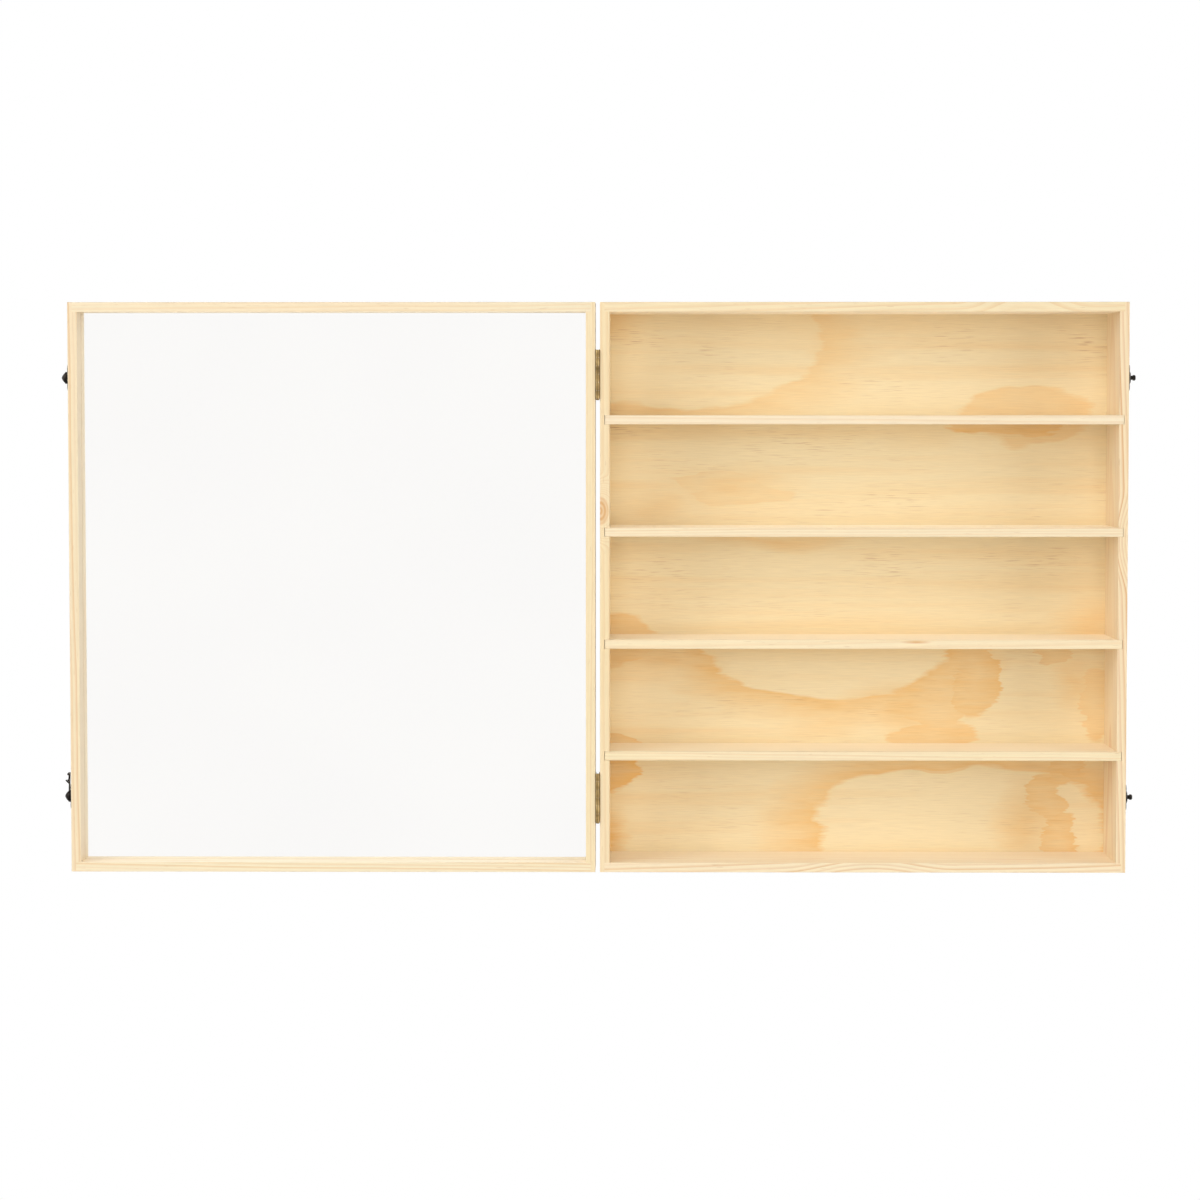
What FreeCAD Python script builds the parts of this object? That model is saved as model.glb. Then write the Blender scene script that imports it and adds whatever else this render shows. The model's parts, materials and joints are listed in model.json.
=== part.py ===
"""Wall display cabinet in pine: a shelved case and a framed clear door that opens flat beside it.

Millimetres. +X is to the right, +Z is up, and the wall is the plane y = 0, so the front faces -Y.
The origin is on the rear edge of the case's top board, halfway along it, where the case meets the wall.
The door is drawn fully open, beside the case and level with it, as it lies in use when the case is filled.
"""
import FreeCAD, Part
import math
import os

os.makedirs("parts", exist_ok=True)

V = FreeCAD.Vector

# Case
case_width = 526.0
case_height = 570.0
case_depth = 100.0
board = 9.5                   # thickness of the case boards and of the door's frame
shelf_board = 9.0
shelf_count = 4
housing_depth = 5.0           # how far shelf ends and corner joints are let into the uprights
shelf_end_clearance = 0.5     # left at each end of a shelf, in its housing
fit_clearance = 0.05          # a sliding fit, on each face
edge_ease = 0.5               # sanded edges

# Back panel, in a groove
back_thickness = 3.0
back_setback = 5.0            # from the wall to the panel
back_groove_depth = 4.0
groove_clearance = 0.3        # at the bottom of a groove

# Door
door_depth = 46.0
pane_thickness = 2.0
pane_setback = 25.0           # from the door's inner face to the pane
pane_groove_depth = 4.0
closing_gap = 0.5             # between the closed door and the case

# Butt hinges on the outer faces of the uprights
hinge_length = 48.9
hinge_above_shelf = 16.5      # from the highest shelf up to the upper hinge
hinge_below_shelf = 13.0      # from the lowest shelf down to the lower hinge
knuckle_count = 6
knuckle_radius = 2.0
knuckle_gap = 0.5             # between neighbouring knuckles
barrel_clearance = 0.3        # round a knuckle
leaf_thickness = 0.9
leaf_width = 14.0
pin_clearance = 0.05
pin_head_height = 1.4
pin_head_bevel = 0.7
hinge_screws_per_leaf = 3
screw_radius = 1.1
wood_behind_shank = 1.6       # left between the end of a screw, nail, rivet or stud and the far face

# Swing-hook latches and their keepers
latch_above_shelf = 37.3      # from the nearest shelf to the pivot
latch_setback = 9.5           # from the meeting faces to the pivot, and to the stud
plate_length = 27.0
plate_middle_width = 15.0
plate_end_width = 9.5
plate_thickness = 2.2         # at the boss in the middle
plate_rim = 1.3               # thickness of the ends and round the boss
plate_boss_radius = 5.4       # at the top of the boss
plate_waist_round = 2.0       # in the corners between the middle and the ends
plate_bevel = 0.5
nail_radius = 0.65
rivet_radius = 1.3
rivet_head_radius = 4.8
rivet_head_height = 3.6
rivet_head_rim = 0.8
rivet_head_tip = 0.7
stud_neck_radius = 2.1
stud_neck_length = 2.55
stud_head_radius = 2.8
stud_head_height = 2.7
stud_head_bevel = 0.8
hook_thickness = 1.0
hook_lift = 0.4               # between the plate and the hook
hook_eye_radius = 6.0
hook_claw = 1.9               # metal beyond the slot, and before it
hook_claw_round = 0.85
hook_depth = 4.4              # how far the hook reaches below and above the stud's middle
hook_boss = 0.8               # extra thickness at the hook's end
hook_boss_bevel = 0.5
hook_arm_root = 5.7           # width of the arm at the eye
hook_arm_end = 3.9            # and where it meets the hook's end
hook_arm_rise = 1.55          # how far the arm's end lies above the line from pivot to stud
slot_clearance = 0.35
finger_tab_width = 3.4
finger_tab_length = 5.0
finger_tab_angle = 45.0
finger_tab_to_stud = 4.0      # from the tab's tip to the middle of the stud

# Sawtooth hangers, let into the rear edge of the top board
hanger_spacing = 300.0
hanger_length = 44.0
hanger_height = 8.0
hanger_thickness = 0.8
hanger_recess = 2.8
hanger_tab = 8.0
hanger_ramp = 2.0
hanger_tooth_count = 9
hanger_tooth_depth = 1.8
hanger_end_clearance = 0.3
hanger_wall_clearance = 0.2

# Places that follow from the sizes
left = -case_width / 2
right = case_width / 2
front = -case_depth
top = board / 2
bottom = top - case_height
mid_height = (top + bottom) / 2

back_front = -back_setback - back_thickness
clear_height = (case_height - 2 * board - shelf_count * shelf_board) / (shelf_count + 1)
highest_shelf = top - board - clear_height          # its upper face
lowest_shelf = bottom + board + clear_height        # its lower face

half_gap = knuckle_radius + barrel_clearance
hinge_x = left - half_gap
hinge_y = front - closing_gap / 2
pin_radius = knuckle_radius - leaf_thickness - pin_clearance
bore_radius = pin_radius + pin_clearance
knuckle_pitch = hinge_length / knuckle_count
screw_spacing = hinge_length / hinge_screws_per_leaf
hinge_levels = {"upper": highest_shelf + hinge_above_shelf + hinge_length / 2,
                "lower": lowest_shelf - hinge_below_shelf - hinge_length / 2}

door_right = left - 2 * half_gap
door_left = door_right - case_width
door_inner = front
door_outer = front + door_depth
pane_near = door_inner + pane_setback
pane_far = pane_near + pane_thickness

latch_levels = {"upper": highest_shelf + latch_above_shelf, "lower": lowest_shelf - latch_above_shelf}
hook_rest_turns = {"upper": 180.0, "lower": 90.0}
hook_reach = 2 * latch_setback + closing_gap
hook_base = plate_thickness + hook_lift
lobe_offset = (plate_length - plate_end_width) / 2
shank_depth = board - wood_behind_shank


def block(xs, ys, zs):
    """A box between two limits along each axis."""
    low = V(min(xs), min(ys), min(zs))
    return Part.makeBox(abs(xs[1] - xs[0]), abs(ys[1] - ys[0]), abs(zs[1] - zs[0]), low)


def near(a, b):
    return abs(a - b) < 1e-6


def edges_at(shape, picks):
    """The edges of a shape whose middle passes the test."""
    return [edge for edge in shape.Edges if picks(edge.CenterOfMass)]


def turned(points, arcs=()):
    """A solid of revolution about +Z from (radius, height) points.

    Each arc is (index, via): the stretch after that point is round and passes through via.
    """
    corners = [V(radius, 0, height) for radius, height in points]
    rounds = {index: V(via[0], 0, via[1]) for index, via in arcs}
    edges = []
    for index, start in enumerate(corners):
        end = corners[(index + 1) % len(corners)]
        if index in rounds:
            edges.append(Part.Arc(start, rounds[index], end).toShape())
        else:
            edges.append(Part.makeLine(start, end))
    return Part.Face(Part.Wire(edges)).revolve(V(0, 0, 0), V(0, 0, 1), 360)


def flat(points, thickness):
    """A flat plate from (u, v) corner points, with its underside at height 0."""
    corners = [V(u, v, 0) for u, v in points]
    return Part.Face(Part.makePolygon(corners + corners[:1])).extrude(V(0, 0, thickness))


def placed(shape, origin, u_axis, outward):
    """A shape drawn on the plane w = 0, laid on a face with its w axis along the outward normal."""
    turn = FreeCAD.Rotation(u_axis, outward.cross(u_axis), outward, "ZXY")
    result = shape.copy()
    result.Placement = FreeCAD.Placement(origin, turn)
    return result


def cut_all(shape, tools):
    return shape.cut(Part.makeCompound(tools)) if tools else shape


def save(name, shape):
    shape.exportStep(f"parts/{name}.step")


# Frames: uprights with rabbeted ends, and crosspieces let into them

def upright(face, outward, ys, groove, groove_depth):
    """A side or stile whose outer face is at x = face and looks along outward (+1 or -1)."""
    inner = face - outward * board
    shoulder = inner + outward * housing_depth
    body = block((inner, face), ys, (bottom, top))

    def on_outer_rim(c):
        at_end = near(c.z, top) or near(c.z, bottom)
        at_front_or_rear = near(c.y, ys[0]) or near(c.y, ys[1])
        return near(c.x, face) or (at_end and at_front_or_rear)

    body = body.makeFillet(edge_ease, edges_at(body, on_outer_rim))
    cuts = [block((inner, shoulder), ys, (top - board, top)),
            block((inner, shoulder), ys, (bottom, bottom + board)),
            block((inner, inner + outward * groove_depth), groove, (bottom, top))]
    return cut_all(body, cuts)


def crosspiece(face, outward, xs, ys, groove, groove_depth):
    """A top, bottom or rail whose outer face is at z = face and looks along outward (+1 or -1)."""
    inner = face - outward * board
    body = block(xs, ys, (inner, face))
    rim = edges_at(body, lambda c: near(c.z, face) and (near(c.y, ys[0]) or near(c.y, ys[1])))
    body = body.makeFillet(edge_ease, rim)
    return body.cut(block(xs, groove, (inner, inner + outward * groove_depth)))


def framed(xs, ys, groove, groove_depth):
    """The four boards of a frame: left, right, top and bottom."""
    lip = board - housing_depth
    rail_span = (xs[0] + lip, xs[1] - lip)
    return {"left": upright(xs[0], -1, ys, groove, groove_depth),
            "right": upright(xs[1], 1, ys, groove, groove_depth),
            "top": crosspiece(top, 1, rail_span, ys, groove, groove_depth),
            "bottom": crosspiece(bottom, -1, rail_span, ys, groove, groove_depth)}


def panel(xs, ys, groove_depth):
    """A sheet held in the grooves of a frame that spans xs."""
    inset = board - groove_depth + groove_clearance
    return block((xs[0] + inset, xs[1] - inset), ys, (bottom + inset, top - inset))


def groove_for(ys):
    return (ys[0] - fit_clearance, ys[1] + fit_clearance)


# Shelves and their housings

def shelf_levels():
    """Bottom and top of each shelf, from the highest down."""
    levels = []
    for index in range(shelf_count):
        upper = highest_shelf - index * (clear_height + shelf_board)
        levels.append((upper - shelf_board, upper))
    return levels


def shelf(level):
    reach = case_width / 2 - board + housing_depth - shelf_end_clearance
    body = block((-reach, reach), (front, back_front - fit_clearance), level)
    return body.makeFillet(edge_ease, edges_at(body, lambda c: near(c.y, front) and not near(abs(c.x), reach)))


def shelf_housings(face, outward):
    inner = face - outward * board
    cuts = []
    for low, high in shelf_levels():
        slot = (low - fit_clearance, high + fit_clearance)
        cuts.append(block((inner, inner + outward * housing_depth), (front, back_front), slot))
    return cuts


# Fasteners, drawn with the wood's face at height 0

def screw(clearance=0):
    """A screw whose countersunk head fills a hinge leaf; with a clearance, the hole for it."""
    r = screw_radius + clearance
    tip = -shank_depth - clearance
    return turned([(0, leaf_thickness), (r + leaf_thickness, leaf_thickness), (r, 0), (r, tip), (0, tip)])


def brad(seat, clearance=0):
    """A headless nail level with seat; with a clearance, the hole for it."""
    tip = -shank_depth - clearance
    return Part.makeCylinder(nail_radius + clearance, seat - tip, V(0, 0, tip))


# Butt hinges

def knuckle_spans(level):
    """Bottom and top of the room of each knuckle, from the lowest up."""
    base = level - hinge_length / 2
    return [(base + i * knuckle_pitch, base + (i + 1) * knuckle_pitch) for i in range(knuckle_count)]


def hinge_screws(level, side, clearance=0):
    """The screws of one leaf, or their holes: side is +1 on the case and -1 on the door."""
    y = hinge_y + (leaf_width + knuckle_radius) / 2
    lowest = level - (hinge_screws_per_leaf - 1) / 2 * screw_spacing
    points = [V(hinge_x + side * half_gap, y, lowest + i * screw_spacing) for i in range(hinge_screws_per_leaf)]
    return [placed(screw(clearance), point, V(0, 1, 0), V(-side, 0, 0)) for point in points]


def hinge_leaf(level, side, parity):
    """A leaf with its rolled knuckles; parity tells which of the knuckles are its own."""
    face = hinge_x + side * half_gap
    xs = (face - side * leaf_thickness, face)
    leaf_front = hinge_y + leaf_thickness / 2
    notch_end = hinge_y + half_gap
    body = block(xs, (leaf_front, hinge_y + leaf_width), (level - hinge_length / 2, level + hinge_length / 2))
    bores = []
    for index, (low, high) in enumerate(knuckle_spans(level)):
        if index % 2 == parity:
            base = V(hinge_x, hinge_y, low + knuckle_gap / 2)
            length = high - low - knuckle_gap
            body = body.fuse(Part.makeCylinder(knuckle_radius, length, base))
            bores.append(Part.makeCylinder(bore_radius, length, base))
        else:
            body = body.cut(block(xs, (leaf_front, notch_end), (low, high)))
    return cut_all(body, bores + hinge_screws(level, side, fit_clearance)).removeSplitter()


def hinge_pin(level):
    """A pin with a bevelled head under the lowest knuckle, flush with the top one."""
    low = -hinge_length / 2 + knuckle_gap / 2 - barrel_clearance
    high = hinge_length / 2 - knuckle_gap / 2
    end = low - pin_head_height
    pin = turned([(0, high), (pin_radius, high), (pin_radius, low), (knuckle_radius, low),
                  (knuckle_radius, end + pin_head_bevel), (knuckle_radius - pin_head_bevel, end), (0, end)])
    return pin.translate(V(hinge_x, hinge_y, level))


# Latches and keepers, drawn with u towards the other half, v up and w outwards

def nails(clearance=0):
    """The two nails of a plate, or their holes, in its lobes."""
    return [brad(plate_rim, clearance).translate(V(0, end * lobe_offset, 0)) for end in (-1, 1)]


def plate_holes():
    """The holes through plate and wood for the rivet or stud and for the nails."""
    depth = shank_depth + fit_clearance
    post = Part.makeCylinder(rivet_radius + fit_clearance, depth + plate_thickness, V(0, 0, -depth))
    return [post] + nails(fit_clearance)


def plate():
    """A pressed plate with a wide middle raised to a boss, a lobe at each end and a bevelled rim."""
    body = Part.makeCylinder(plate_middle_width / 2, plate_rim)
    for end in (-1, 1):
        body = body.fuse(Part.makeCylinder(plate_end_width / 2, plate_rim, V(0, end * lobe_offset, 0)))
    body = body.removeSplitter()
    waist = edges_at(body, lambda c: near(c.z, plate_rim / 2) and abs(c.y) < lobe_offset and not near(c.y, 0))
    body = body.makeFillet(plate_waist_round, waist)
    body = body.makeChamfer(plate_bevel, edges_at(body, lambda c: near(c.z, plate_rim)))
    boss_foot = plate_middle_width / 2 - plate_bevel
    boss = Part.makeCone(boss_foot, plate_boss_radius, plate_thickness - plate_rim, V(0, 0, plate_rim))
    return cut_all(body.fuse(boss), plate_holes())


def rivet():
    """The pivot: a shank in the wood, through plate and hook, under a low bell-shaped head."""
    seat = hook_base + hook_thickness + fit_clearance
    rim = seat + rivet_head_rim
    crown = seat + rivet_head_height
    on_bell = ((rivet_head_radius + rivet_head_tip) / 2, (rim + crown) / 2 + rivet_head_tip / 2)
    return turned([(0, -shank_depth), (rivet_radius, -shank_depth), (rivet_radius, seat), (rivet_head_radius, seat),
                   (rivet_head_radius, rim), (rivet_head_tip, crown), (0, crown)], arcs=[(4, on_bell)])


def stud():
    """The keeper's post: a shank in the wood, a neck for the hook and a bevelled head."""
    foot = plate_thickness
    head = foot + stud_neck_length
    crown = head + stud_head_height
    return turned([(0, -shank_depth), (rivet_radius, -shank_depth), (rivet_radius, foot), (stud_neck_radius, foot),
                   (stud_neck_radius, head), (stud_head_radius, head), (stud_head_radius, crown - stud_head_bevel),
                   (stud_head_radius - stud_head_bevel, crown), (0, crown)])


def ring_sector(inner, outer, height, start, end):
    """Part of a flat ring about the pivot, between two angles in degrees."""
    sector = Part.makeCylinder(outer, height, V(0, 0, 0), V(0, 0, 1), end - start)
    sector = sector.cut(Part.makeCylinder(inner, height))
    return sector.rotate(V(0, 0, 0), V(0, 0, 1), start)


def finger_tab():
    """The tab that lifts the hook: a tongue bent up from the arm, short of the stud."""
    run = finger_tab_length * math.cos(math.radians(finger_tab_angle))
    tab = block((0, finger_tab_length), (0, finger_tab_width), (-hook_thickness, 0))
    tab = tab.rotate(V(0, 0, 0), V(0, 1, 0), -finger_tab_angle)
    return tab.translate(V(hook_reach - finger_tab_to_stud - run, 0, hook_thickness))


def hook():
    """A swing hook along u: eye, tapered arm, finger tab, and an end whose slot runs round the pivot."""
    slot_half = stud_neck_radius + slot_clearance
    slot_inner = hook_reach - slot_half
    slot_outer = hook_reach + slot_half
    heel = slot_inner - hook_claw
    spread = math.degrees(math.asin(hook_depth / hook_reach))
    mouth_spread = math.degrees(math.asin((hook_depth + hook_claw) / slot_inner))
    end_thickness = hook_thickness + hook_boss

    arm_end = heel + hook_claw / 2
    arm = flat([(0, -hook_arm_root / 2), (arm_end, hook_arm_rise - hook_arm_end / 2),
                (arm_end, hook_arm_rise + hook_arm_end / 2), (0, hook_arm_root / 2)], hook_thickness)
    end = ring_sector(heel, slot_outer + hook_claw, end_thickness, -spread, spread)
    end = end.makeFillet(hook_claw_round, edges_at(end, lambda c: near(c.z, end_thickness / 2)))
    end = end.makeChamfer(hook_boss_bevel, edges_at(end, lambda c: near(c.z, end_thickness)))
    eye = Part.makeCylinder(hook_eye_radius, hook_thickness)
    body = eye.fuse([arm, end, finger_tab()])

    mouth = ring_sector(slot_inner, slot_outer, end_thickness, -mouth_spread, 0)
    seat = Part.makeCylinder(slot_half, end_thickness, V(hook_reach, 0, 0))
    pivot = Part.makeCylinder(rivet_radius + fit_clearance, hook_thickness)
    body = cut_all(body, [mouth, seat, pivot]).removeSplitter()
    return body.translate(V(0, 0, hook_base))


# Where the latches and keepers lie

plate_axes = {"door": (V(0, -1, 0), V(-1, 0, 0)), "case": (V(0, 1, 0), V(1, 0, 0))}


def on_plate(shape, half, level):
    """A latch or keeper piece laid on the outer face of its half of the cabinet."""
    u_axis, outward = plate_axes[half]
    face = door_left if half == "door" else right
    return placed(shape, V(face, front + latch_setback, level), u_axis, outward)


def on_plates(shapes, half):
    """Copies of the pieces or holes at both plates of a half."""
    group = Part.makeCompound(shapes)
    return [solid for level in latch_levels.values() for solid in on_plate(group, half, level).Solids]


# Sawtooth hangers

hanger_places = {"left": -hanger_spacing / 2, "right": hanger_spacing / 2}


def hanger(middle):
    """A strip with two nailing tabs and a raised bridge toothed along its lower edge."""
    half = hanger_length / 2
    floor = -hanger_recess
    bridge = -hanger_wall_clearance - hanger_thickness
    knee = half - hanger_tab
    crown = knee - hanger_ramp
    low = -hanger_height / 2
    line = [(-half, floor), (-knee, floor), (-crown, bridge), (crown, bridge), (knee, floor), (half, floor)]
    corners = [V(x, y, low) for x, y in line]
    corners += [V(x, y + hanger_thickness, low) for x, y in reversed(line)]
    strip = Part.Face(Part.makePolygon(corners + corners[:1])).extrude(V(0, 0, hanger_height))
    pitch = 2 * crown / hanger_tooth_count
    teeth = []
    for index in range(hanger_tooth_count):
        x = -crown + index * pitch
        tooth = Part.makePolygon([V(x, bridge, low), V(x + pitch / 2, bridge, low + hanger_tooth_depth),
                                  V(x + pitch, bridge, low), V(x, bridge, low)])
        teeth.append(Part.Face(tooth).extrude(V(0, hanger_thickness, 0)))
    toothed = cut_all(strip, teeth).translate(V(middle, 0, 0))
    return cut_all(toothed, hanger_nails(middle, fit_clearance))


def hanger_recesses():
    half = hanger_length / 2 + hanger_end_clearance
    return [block((x - half, x + half), (-hanger_recess, 0), (top - board, top)) for x in hanger_places.values()]


def hanger_nails(middle, clearance=0):
    """The two nails of a hanger, or their holes, in its tabs."""
    nail = brad(hanger_thickness, clearance)
    reach = (hanger_length - hanger_tab) / 2
    points = [V(middle + end * reach, -hanger_recess, 0) for end in (-1, 1)]
    return [placed(nail, point, V(1, 0, 0), V(0, 1, 0)) for point in points]


# Case

case = framed((left, right), (front, 0), groove_for((back_front, -back_setback)), back_groove_depth)
door = framed((door_left, door_right), (door_inner, door_outer), groove_for((pane_near, pane_far)),
              pane_groove_depth)
screw_holes = {"case": [], "door": []}
for level in hinge_levels.values():
    screw_holes["case"] += hinge_screws(level, 1, fit_clearance)
    screw_holes["door"] += hinge_screws(level, -1, fit_clearance)
hanger_holes = [hole for middle in hanger_places.values() for hole in hanger_nails(middle, fit_clearance)]

save("case_left_side", cut_all(case["left"], shelf_housings(left, -1) + screw_holes["case"]))
save("case_right_side", cut_all(case["right"], shelf_housings(right, 1) + on_plates(plate_holes(), "case")))
save("case_top", cut_all(case["top"], hanger_recesses() + hanger_holes))
save("case_bottom", case["bottom"])
save("back_panel", panel((left, right), (back_front, -back_setback), back_groove_depth))
for index, level in enumerate(shelf_levels()):
    save(f"shelf_{index + 1}", shelf(level))

# Door

save("door_latch_stile", cut_all(door["left"], on_plates(plate_holes(), "door")))
save("door_hinge_stile", cut_all(door["right"], screw_holes["door"]))
save("door_top_rail", door["top"])
save("door_bottom_rail", door["bottom"])
save("door_pane", panel((door_left, door_right), (pane_near, pane_far), pane_groove_depth))

# Hinges

for name, level in hinge_levels.items():
    save(f"hinge_{name}_case_leaf", hinge_leaf(level, 1, 1))
    save(f"hinge_{name}_door_leaf", hinge_leaf(level, -1, 0))
    save(f"hinge_{name}_pin", hinge_pin(level))
for half, side in (("case", 1), ("door", -1)):
    screws = [screw for level in hinge_levels.values() for screw in hinge_screws(level, side)]
    save(f"{half}_hinge_screws", Part.makeCompound(screws))

# Latches and keepers

for name, level in latch_levels.items():
    save(f"latch_{name}_plate", on_plate(plate(), "door", level))
    save(f"latch_{name}_rivet", on_plate(rivet(), "door", level))
    save(f"keeper_{name}_plate", on_plate(plate(), "case", level))
    save(f"keeper_{name}_stud", on_plate(stud(), "case", level))
    swung = hook().rotate(V(0, 0, 0), V(0, 0, 1), hook_rest_turns[name])
    save(f"hook_{name}", on_plate(Part.makeCompound([swung]), "door", level).Solids[0])
save("latch_nails", Part.makeCompound(on_plates(nails(), "door")))
save("keeper_nails", Part.makeCompound(on_plates(nails(), "case")))

# Hangers

for name, middle in hanger_places.items():
    save(f"hanger_{name}", hanger(middle))
save("hanger_nails", Part.makeCompound([nail for middle in hanger_places.values() for nail in hanger_nails(middle)]))
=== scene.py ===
"""Wall display cabinet, dressed: pine boards, a rotary-cut plywood back, a clear pane and bronzed hardware.

Metres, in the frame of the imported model: +X right, +Z up, the wall at y = 0 and the front facing -Y.
"""
import bpy
import json
import math
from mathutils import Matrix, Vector


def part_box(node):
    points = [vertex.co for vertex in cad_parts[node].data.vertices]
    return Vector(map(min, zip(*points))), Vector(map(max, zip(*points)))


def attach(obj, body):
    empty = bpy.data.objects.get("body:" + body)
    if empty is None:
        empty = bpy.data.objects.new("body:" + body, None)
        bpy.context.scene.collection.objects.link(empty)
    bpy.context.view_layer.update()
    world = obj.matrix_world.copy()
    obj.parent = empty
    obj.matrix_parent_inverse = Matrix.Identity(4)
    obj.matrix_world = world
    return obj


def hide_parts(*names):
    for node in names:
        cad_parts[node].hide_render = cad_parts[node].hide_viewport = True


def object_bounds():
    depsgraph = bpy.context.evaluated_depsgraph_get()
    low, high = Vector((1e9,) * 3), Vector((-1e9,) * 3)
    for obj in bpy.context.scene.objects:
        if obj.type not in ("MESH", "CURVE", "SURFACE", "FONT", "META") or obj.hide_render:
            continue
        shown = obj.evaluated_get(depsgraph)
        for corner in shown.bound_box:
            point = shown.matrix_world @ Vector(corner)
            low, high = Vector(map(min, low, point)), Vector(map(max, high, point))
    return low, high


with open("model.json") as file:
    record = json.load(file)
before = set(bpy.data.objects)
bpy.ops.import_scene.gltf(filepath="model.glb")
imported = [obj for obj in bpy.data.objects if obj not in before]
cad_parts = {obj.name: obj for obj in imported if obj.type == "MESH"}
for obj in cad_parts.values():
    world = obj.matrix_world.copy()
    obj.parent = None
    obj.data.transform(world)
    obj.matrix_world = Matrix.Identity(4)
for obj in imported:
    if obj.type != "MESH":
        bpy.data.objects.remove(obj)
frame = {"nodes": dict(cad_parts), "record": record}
cad_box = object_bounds()

MM = 0.001


# Tools for materials and node trees

def linear(code):
    """An sRGB hex colour as the linear RGBA that a shader takes."""
    parts = [int(code[i:i + 2], 16) / 255 for i in (0, 2, 4)]
    return tuple(c / 12.92 if c <= 0.04045 else ((c + 0.055) / 1.055) ** 2.4 for c in parts) + (1.0,)


def add(tree, kind, inputs=None, output=0, stops=None, **settings):
    """Adds a node and returns one of its outputs. An input is a value, a socket or a list of sockets."""
    node = tree.nodes.new(kind)
    for name, value in settings.items():
        setattr(node, name, value)
    if stops:
        ramp = node.color_ramp.elements
        while len(ramp) < len(stops):
            ramp.new(0.5)
        for element, (place, colour) in zip(ramp, stops):
            element.position = place
            element.color = colour
    for key, value in (inputs or {}).items():
        socket = next((s for s in node.inputs if s.identifier == key), None) or node.inputs[key]
        sources = value if isinstance(value, list) else [value]
        if isinstance(sources[0], bpy.types.NodeSocket):
            for source in sources:
                tree.links.new(source, socket)
        else:
            socket.default_value = value
    return node.outputs[output] if node.outputs else None


def new_finish(name):
    """An empty material with its Principled shader, as (material, tree, shader)."""
    material = bpy.data.materials.new(name)
    material.use_nodes = True
    return material, material.node_tree, material.node_tree.nodes["Principled BSDF"]


def feed(tree, shader, inputs):
    """Sets or links sockets of a shader that is there already."""
    for name, value in inputs.items():
        if isinstance(value, bpy.types.NodeSocket):
            tree.links.new(value, shader.inputs[name])
        else:
            shader.inputs[name].default_value = value


def grey(level):
    """A linear RGBA colour with no hue."""
    return (level, level, level, 1.0)


def dress(material, *nodes):
    """Gives a material to CAD nodes."""
    for name in nodes:
        slots = frame["nodes"][name].data.materials
        slots.clear()
        slots.append(material)


# Pine: sanded softwood boards, unvarnished. The eye sees thin straw-coloured late-wood lines along the
# grain, crowded on the edges and wider apart on the faces, over a creamy ground that turns a little pink.

PINK_WOOD = "F4DCB8"
KNOT_WOOD = "D9A263"
RESIN = "C99A62"

WAVE_LENGTH = 260 * MM
WAVE_WIDTH = 34 * MM
WAVE_HEIGHT = 5.0 * MM
RIPPLE_LENGTH = 40 * MM
RIPPLE_WIDTH = 5 * MM
RIPPLE_HEIGHT = 0.5 * MM
FIBRE_LENGTH = 24 * MM
FIBRE_WIDTH = 0.9 * MM        # drawn wider than the real 0.05 mm so that it shows
RESIN_LENGTH = 9 * MM
RESIN_WIDTH = 0.7 * MM        # drawn wider than the real 0.2 mm so that it shows
CLOUD_LENGTH = 300 * MM
CLOUD_WIDTH = 40 * MM
KNOT_SQUEEZE = 0.62           # a knot is cut at a slant, so it is longer along the grain
KNOT_RING = 1.7 * MM
KNOT_FADE = (1.05, 0.8)       # where the knot's edge starts and is full, in shares of its size
KNOT_YEAR = 0.35              # how much of the knot's colour is left between its rings
RAISED_FIBRES = 0.85          # the pale bloom that sanded wood shows at a low angle
BLOOM = "FFF1D6"
BLOOM_ROUGHNESS = 0.45
WOOD_IOR = 1.5
PALEST_RING = 0.25            # how strongly the faintest ring shows, against the strongest
CLOUD_RANGE = (0.35, 0.7)     # the part of the noise that turns the ground from cream to pink
CLOUD_STRENGTH = 0.6
FIBRE_RANGE = (0.3, 0.7)
BOARD_TONES = (0.94, 1.02)    # the darkest and lightest fibres
RESIN_RANGE = (0.74, 0.86)    # only the peaks of the noise are resin canals
RESIN_STRENGTH = 0.45
EARLY_ROUGHNESS = 0.42
LATE_ROUGHNESS = 0.34         # the hard late wood sands smoother
RIDGE = 0.5                   # how far late wood stands up, against the fibres
FIBRE_RELIEF = 0.25
FIBRE_HEIGHT = 0.1 * MM
WOOD_GLOSS = 0.8

# One year's ring from the inside out: pale early wood that darkens slowly to late wood, and stops sharply
YEAR = ((0.0, grey(0.1)), (0.35, grey(0.0)), (0.8, grey(0.85)), (0.92, grey(1.0)), (1.0, grey(0.1)))


def streaks(tree, along, length, width, seed, detail, output=0):
    """Noise drawn out along the grain, which runs along x."""
    stretched = add(tree, "ShaderNodeVectorMath", {0: along, 1: (1 / length, 1 / width, 1 / width)},
                    operation="MULTIPLY")
    return add(tree, "ShaderNodeTexNoise", {"Vector": stretched, "W": seed, "Scale": 1.0, "Detail": detail},
               output=output, noise_dimensions="4D")


# How a pool is drawn by the distance from its middle, where its edge is 1: not at all at the first distance,
# full at the second, and fading towards the third, which may lie past the middle.
BESIDE = (0.94, 1.0, 1.45)    # orange round a pale pool
FILLED = (1.02, 0.9, -2.0)    # an orange pool with a clear edge
CLOUDY = (1.0, 0.1, -9.0)     # a soft patch


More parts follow.
